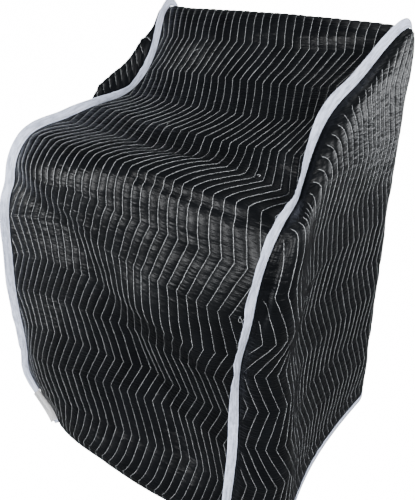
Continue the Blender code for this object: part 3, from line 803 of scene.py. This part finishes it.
def build_loose_ends(thread):
    """Broken ends of thread, which start in a stitch line and curl just above the cloth."""
    part = np.linspace(0, 1, LOOSE_POINTS)
    angle = np.linspace(0, 2 * math.pi, LOOSE_SIDES, endpoint=False)
    for number, (across, along, turn, length) in enumerate(LOOSE):
        size = length / 1000
        heading = math.radians(turn) + 3.4 * part**1.5 - 1.1 * np.sin(part * 6 + number)
        step = size / (LOOSE_POINTS - 1)
        sideways = across * PITCH + np.concatenate(([0], np.cumsum(np.cos(heading[1:]) * step)))
        upward = along * HALF_WAVE + np.concatenate(([0], np.cumsum(np.sin(heading[1:]) * step)))
        sideways = np.clip(sideways, LOOSE_CLEAR, WIDTH - LOOSE_CLEAR)
        point, out = strip_middle(sideways, upward / HALF_WAVE)
        middle = point + out * (PAD / 2 + LOOSE_RADIUS + LOOSE_LIFT * np.sin(part * 2.6))[:, None]
        run = unit(np.gradient(middle, axis=0))
        side = unit(np.cross(run, out))
        above = np.cross(side, run)
        ring = side[:, None] * np.cos(angle)[None, :, None] + above[:, None] * np.sin(angle)[None, :, None]
        sections = middle[:, None] + ring * LOOSE_RADIUS
        turned = np.tile(angle, (LOOSE_POINTS, 1))
        places = np.stack((turned, np.repeat(part[:, None] * size, LOOSE_SIDES, 1)), -1)
        made = sweep("loose_thread_%d" % (number + 1), sections, places, thread)
        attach(made, "root")


def side_middle(side, rows, columns):
    """A side panel's middle layer with its small creases.

    Gives what side.grid gives, and how clear each place is of the seams, from 0 to 1.
    """
    point, out, place, high, index = side.grid(rows, columns)
    from_front = (place - place[:, :1]) * PITCH
    edge = crease_fade(np.abs(from_front)) * crease_fade(np.abs(place[:, -1:] - place) * PITCH)
    top = crease_fade((FRONT_EDGE - rows) * HALF_WAVE)[:, None]
    hem = edge_fade((rows - HEM_TAPE_TOP) * HALF_WAVE, CREASE_FADE_HEM)[:, None]
    height = wrinkles(place * PITCH, high * HALF_WAVE, 21 if side.right else 41) * edge * top * hem
    if side.right:
        tuck = edge_fade(rows - TUCK_LOW, 0.6) * edge_fade(TUCK_HIGH - rows, 0.4)
        beside = from_front - TUCK_PLACE
        height = height - TUCK_DEPTH * tuck[:, None] * np.exp(-((beside / TUCK_SPREAD) ** 2))
    return point + out * height[..., None], out, place, high, index, edge * top


def build_side(side, word, cloth):
    """A side panel as one closed pad."""
    rows = cloth_rows(FRONT_EDGE)
    columns = side_columns(COLUMNS)
    point, out, _, high, index, clear = side_middle(side, rows, columns)
    counted = np.repeat(columns[None], len(rows), 0)
    from_hem = edge_fade((rows - HEM_TAPE_TOP) * HALF_WAVE, PUFF_FADE_HEM)[:, None]
    relief = channel(counted) * clear * from_hem
    outer = point + out * (PAD / 2 + relief)[..., None]
    point, out, inner_place, inner_high, under, _ = side_middle(side, inner_rows(rows), side_columns(2))
    inner = point - out * PAD / 2
    faces = pad_faces(index, under + index.size, not side.right)
    places = listed(
        np.stack((counted, high * HALF_WAVE), -1),
        np.stack((inner_place, inner_high * HALF_WAVE), -1),
    )
    made = mesh_object("side_cloth_" + word, listed(outer, inner), faces, places, cloth)
    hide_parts("side_" + word)
    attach(made, "root")
    return made


def stitch_side(side, word, thread):
    """A side panel's stitch lines. Each has three columns of the panel's grid: its middle and its edges."""
    rows = cloth_rows(FRONT_EDGE)
    lines = np.arange(1 - SIDE_REACH, SIDE_REACH)
    half = THREAD / 2 / PITCH
    columns = np.stack((lines - half, lines, lines + half), -1).ravel()
    point, out, place, high, index, clear = side_middle(side, rows, columns)
    points = point + out * (PAD / 2 + np.tile(THREAD_RISE, len(lines)))[None, :, None]
    faces = []
    for first in range(0, len(columns), 3):
        line = slice(first, first + 3)
        inside = (clear[:, line] > 0.02).all(1)
        for start in np.flatnonzero(inside[:-1] & inside[1:]):
            faces.append(quads(index[start : start + 2, line], not side.right)[0])
    places = np.stack((place * PITCH / MILLIMETRE, high * HALF_WAVE), -1)
    made = mesh_object("side_stitching_" + word, listed(points), faces, listed(places), thread)
    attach(made, "root")


def sweep(name, sections, places, material):
    """A closed bar through sections of equally many points, each going round the same way."""
    count, size = sections.shape[:2]
    index = np.arange(count * size).reshape(count, size)
    index = np.concatenate((index, index[:, :1]), 1)
    middle = np.concatenate((sections[:1].mean(1), sections[-1:].mean(1)))
    points = np.concatenate((sections.reshape(-1, 3), middle))
    ring = np.arange(size)
    following = (ring + 1) % size
    last = (count - 1) * size
    caps = [
        np.stack((ring, following, ring * 0 + count * size), -1)[:, ::-1],
        np.stack((last + ring, last + following, ring * 0 + count * size + 1), -1),
    ]
    spots = np.concatenate((places.reshape(-1, 2), places[:1].mean(1), places[-1:].mean(1)))
    made = mesh_object(name, points, quads(index) + caps, spots, material)
    # a negative volume tells that the faces look inward
    a, b, c, d = np.moveaxis(points[quads(index)[0]], 1, 0)
    volume = (a * np.cross(b, c)).sum() + (a * np.cross(c, d)).sum()
    if volume < 0:
        made.data.flip_normals()
    return made


def band(name, middles, face, thicks, places, material):
    """A closed flat band, from the lines of points in its middle layer and the thickness at each line."""
    near = [middle - face * thick / 2 for middle, thick in zip(middles, thicks)]
    far = [middle + face * thick / 2 for middle, thick in zip(middles, thicks)]
    sections = np.stack(near + far[::-1], 1)
    return sweep(name, sections, np.stack(places + places[::-1], 1), material)


def rounded(thick, count):
    """Places across a folded tape and its thickness there, from the seam to the round fold."""
    share = np.linspace(0, 1, count)
    body = 0.62 + 0.18 * np.exp(-((share / 0.12) ** 2))
    fold = 0.38 * np.exp(-(((share - 0.93) / 0.07) ** 2))
    end = np.sqrt(np.clip((1.0 - share) / 0.05, 0, 1))
    return share, thick * (body + fold) * np.minimum(end, 1)


def tape_course(right):
    """A tape's foot on its seam, the directions across it and out of its face, its width, bow and length."""
    along = np.arange(0, REAR_HEM + 0.001, TAPE_STEP)
    along[-1] = REAR_HEM
    seam, out, away = seam_at(along, right)
    table = np.array(TAPE_LEAN_RIGHT if right else TAPE_LEAN_LEFT, float)
    lean = np.radians(np.interp(along, table[:, 0], table[:, 1]))
    seed = 61 if right else 71
    length = along * HALF_WAVE
    wave = 0.08 * np.sin(along * 2.3 + (0.6 if right else 2.0)) + 0.04 * np.sin(along * 5.1)
    wave = wave + 0.10 * noise(length / 0.045, 0, seed) + 0.05 * noise(length / 0.017, 0, seed + 1)
    angle = (lean + wave)[:, None]
    across = away * np.cos(angle) + out * np.sin(angle)
    face = out * np.cos(angle) - away * np.sin(angle)
    # a tape that stands up or leans over the strip has its foot on the strip
    foot = 0.0005 - 0.003 * np.clip((np.degrees(lean) - 60) / 30, 0, 1)
    lift = PAD / 2 + SEAM_GAP + TAPE_THICK * 0.4 * np.abs(np.cos(angle)) - 0.25 * np.minimum(foot, 0)[:, None]
    root = seam + out * lift + away * foot[:, None]
    wide = TAPE_WIDTH * (1 + 0.05 * noise(length / 0.06, 3, seed + 2))
    bow = 0.0022 * noise(length / 0.05, 7, seed + 3)
    return root, across, face, wide, bow, length


def build_seam_tape(right, word, tape):
    """The bound seam: a folded tape that stands out from the seam."""
    root, across, face, wide, bow, length = tape_course(right)
    shares, thicks = rounded(TAPE_THICK, TAPE_POINTS)
    middles = []
    places = []
    for share in shares:
        fine = 0.0006 * noise(length / 0.012, share * 2.2, 65 if right else 75) * share
        height = bow * math.sin(math.pi * share) + fine
        middles.append(root + across * (wide * share)[:, None] + face * height[:, None])
        places.append(np.stack((0 * length + share * TAPE_WIDTH, length), -1))
    made = band("seam_binding_" + word, middles, face, thicks, places, tape)
    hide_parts("seam_tape_" + word)
    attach(made, "root")


def stitch_seam_tape(right, word, thread):
    """One row of stitching through the tape, near the seam, with a thread on each of its faces."""
    root, across, face, wide, bow, length = tape_course(right)
    height = (bow * math.sin(math.pi * TAPE_STITCH))[:, None]
    thick = np.interp(TAPE_STITCH, *rounded(TAPE_THICK, TAPE_POINTS))
    columns = []
    for turn in (-1, 1):
        for step, up in ((-0.0005, 0.0), (0.0, 0.00035), (0.0005, 0.0)):
            middle = root + across * (wide[:, None] * TAPE_STITCH + step) + face * height
            columns.append(middle + face * turn * (thick / 2 + 0.0001 + up))
    points = np.stack(columns, 1)
    index = np.arange(points.shape[0] * 6).reshape(-1, 6)
    places = np.stack((np.tile(np.arange(6.0), (len(length), 1)), np.repeat(length[:, None], 6, 1)), -1)
    faces = quads(index[:, :3], right) + quads(index[:, 3:], not right)
    made = mesh_object("binding_stitching_" + word, listed(points), faces, listed(places), thread)
    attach(made, "root")


def build_hem_tape(side, word, tape):
    """The narrow binding folded round a side panel's lower edge."""
    point, out, place, _, index = side.grid(np.linspace(0.0, HEM_TAPE_TOP, 5), side_columns(4))
    # the binding stops a little inside both seams
    ends = np.flatnonzero(np.diff(index[0]))
    first = ends[0] + 2
    last = ends[-1] - 1
    point = point[:, first:last]
    out = out[:, first:last]
    length = place[0, first:last] * PITCH
    rise = point[-1] - point[0]
    up = unit(rise)
    inside = PAD / 2 + HEM_TAPE_GAP_FRONT
    back = PAD / 2 + HEM_TAPE_GAP_BACK
    ripple = 0.0005 * noise(length / 0.02, 0, 81)[:, None]
    front_near = []
    front_far = []
    for n, share in enumerate((0.0, 0.25, 0.50, 0.75, 0.90)):
        near = point[0] + rise * share + out[n] * (inside + ripple * (n + 1) / 3)
        front_near.append(near)
        front_far.append(near + out[n] * HEM_TAPE_THICK)
    above = point[0] - up * 0.0010
    below = above - up * HEM_TAPE_THICK
    bottom_far = [below + out[0] * (inside * 0.4), below - out[0] * (back * 0.4)]
    bottom_near = [above - out[0] * back * 0.4, above + out[0] * inside * 0.4]
    shares = (0.05, 0.45, 0.88)
    back_far = [point[0] + rise * share - out[0] * (back + HEM_TAPE_THICK) for share in shares]
    back_near = [point[0] + rise * share - out[0] * back for share in shares[::-1]]
    sections = np.stack(front_far[::-1] + bottom_far + back_far + back_near + bottom_near + front_near, 1)
    spots = [np.stack((0 * length + n * 0.006, length), -1) for n in range(sections.shape[1])]
    made = sweep("hem_binding_" + word, sections, np.stack(spots, 1), tape)
    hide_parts("hem_tape_" + word)
    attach(made, "root")


def build_label(white):
    """The blank label, sewn into the left seam just above the hem, folded lengthwise and a little curled."""
    length, width, thick = LABEL_SIZE
    along = np.linspace(LABEL_ROW, LABEL_ROW + length / HALF_WAVE, 41)
    seam, out, away = seam_at(along, False)
    angle = math.radians(LABEL_LEAN)
    across = -away * math.cos(angle) + out * math.sin(angle)
    face = out * math.cos(angle) + away * math.sin(angle)
    root = seam + out * (PAD / 2 + 0.0012) - away * 0.0045
    part = np.linspace(0, 1, len(along))
    middles = []
    places = []
    for share in np.linspace(0, 1, 13):
        crease = 0.0016 * math.exp(-(((share - 0.52) / 0.10) ** 2))
        curl = 0.0030 * share * share * np.sin(part * 5.2 + 0.6)
        height = 0.0015 * math.sin(math.pi * share) + crease + curl
        middles.append(root + across * width * share + face * height[:, None])
        places.append(np.stack((0 * part + share * width, part * length), -1))
    made = band("label_blank", middles, face, [thick] * len(middles), places, white)
    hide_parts("label")
    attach(made, "root")


def add_area_light(name, place, target, size, power, color):
    """A round soft light that shines at a target."""
    light = bpy.data.lights.new(name, "AREA")
    light.shape = "DISK"
    light.size = size
    light.energy = power
    light.color = color
    made = new_object(name, light)
    made.location = place
    x, y, z = np.array(target, float) - np.array(place, float)
    made.rotation_euler = (math.atan2(math.hypot(x, y), -z), 0.0, math.atan2(-x, y))


def show_white(tree, plain, white, output):
    """Gives the camera the white shader, and every other ray the plain one."""
    seen = tree.nodes.new("ShaderNodeLightPath")
    mixed = tree.nodes.new("ShaderNodeMixShader")
    tree.links.new(seen.outputs["Is Camera Ray"], mixed.inputs["Fac"])
    tree.links.new(plain, mixed.inputs[1])
    tree.links.new(white, mixed.inputs[2])
    tree.links.new(mixed.outputs["Shader"], tree.nodes[output].inputs["Surface"])


def build_floor():
    """The studio's floor: it looks white in the picture, and throws little light on the cover."""
    mesh = bpy.data.meshes.new("floor")
    size = FLOOR_SIZE / 2
    corners = [(-size, -size, 0), (size, -size, 0), (size, size, 0), (-size, size, 0)]
    mesh.from_pydata(corners, [], [(0, 1, 2, 3)])
    paint, tree, shader = new_material("floor_paint", (0.10, 0.10, 0.10), 0.9)
    shader.inputs["Specular IOR Level"].default_value = 0.1
    glow = tree.nodes.new("ShaderNodeEmission")
    glow.inputs["Strength"].default_value = WHITE
    both = tree.nodes.new("ShaderNodeAddShader")
    tree.links.new(shader.outputs["BSDF"], both.inputs[0])
    tree.links.new(glow.outputs["Emission"], both.inputs[1])
    show_white(tree, shader.outputs["BSDF"], both.outputs["Shader"], "Material Output")
    mesh.materials.append(paint)
    floor = new_object("floor", mesh)
    floor.location = (0, 0, -0.001)


def build_sky():
    """A dim even light from all round, which the camera sees as a white backdrop."""
    world = bpy.data.worlds.new("studio")
    bpy.context.scene.world = world
    world.use_nodes = True
    sky = world.node_tree
    dim = sky.nodes["Background"]
    dim.inputs["Color"].default_value = (0.95, 0.97, 1.0, 1.0)
    dim.inputs["Strength"].default_value = 0.12
    pale = sky.nodes.new("ShaderNodeBackground")
    pale.inputs["Strength"].default_value = WHITE
    show_white(sky, dim.outputs["Background"], pale.outputs["Background"], "World Output")


def build_camera():
    """The camera, where the photograph was taken from."""
    camera = bpy.data.cameras.new("camera")
    camera.sensor_width = 36.0
    camera.lens = CAMERA_LENS
    camera.clip_end = 100.0
    made = new_object("camera", camera)
    made.location = np.array(CAMERA_PLACE) - ORIGIN
    made.rotation_euler = (math.radians(90 - CAMERA_DOWN), 0.0, math.radians(CAMERA_TURN))
    bpy.context.scene.camera = made


def main():
    build_floor()
    build_sky()
    for light in LIGHTS:
        add_area_light(*light)
    build_camera()
    cloth = cloth_material()
    thread = thread_material()
    tape = tape_material()
    build_label(label_material())
    strip = build_strip(cloth)
    stitch_strip(thread)
    build_loose_ends(thread)
    for right, word in ((False, "left"), (True, "right")):
        side = Side(right)
        panel = build_side(side, word, cloth)
        stitch_side(side, word, thread)
        build_hem_tape(side, word, tape)
        build_seam_tape(right, word, tape)
        stitch_seam_tape(right, word, thread)


main()
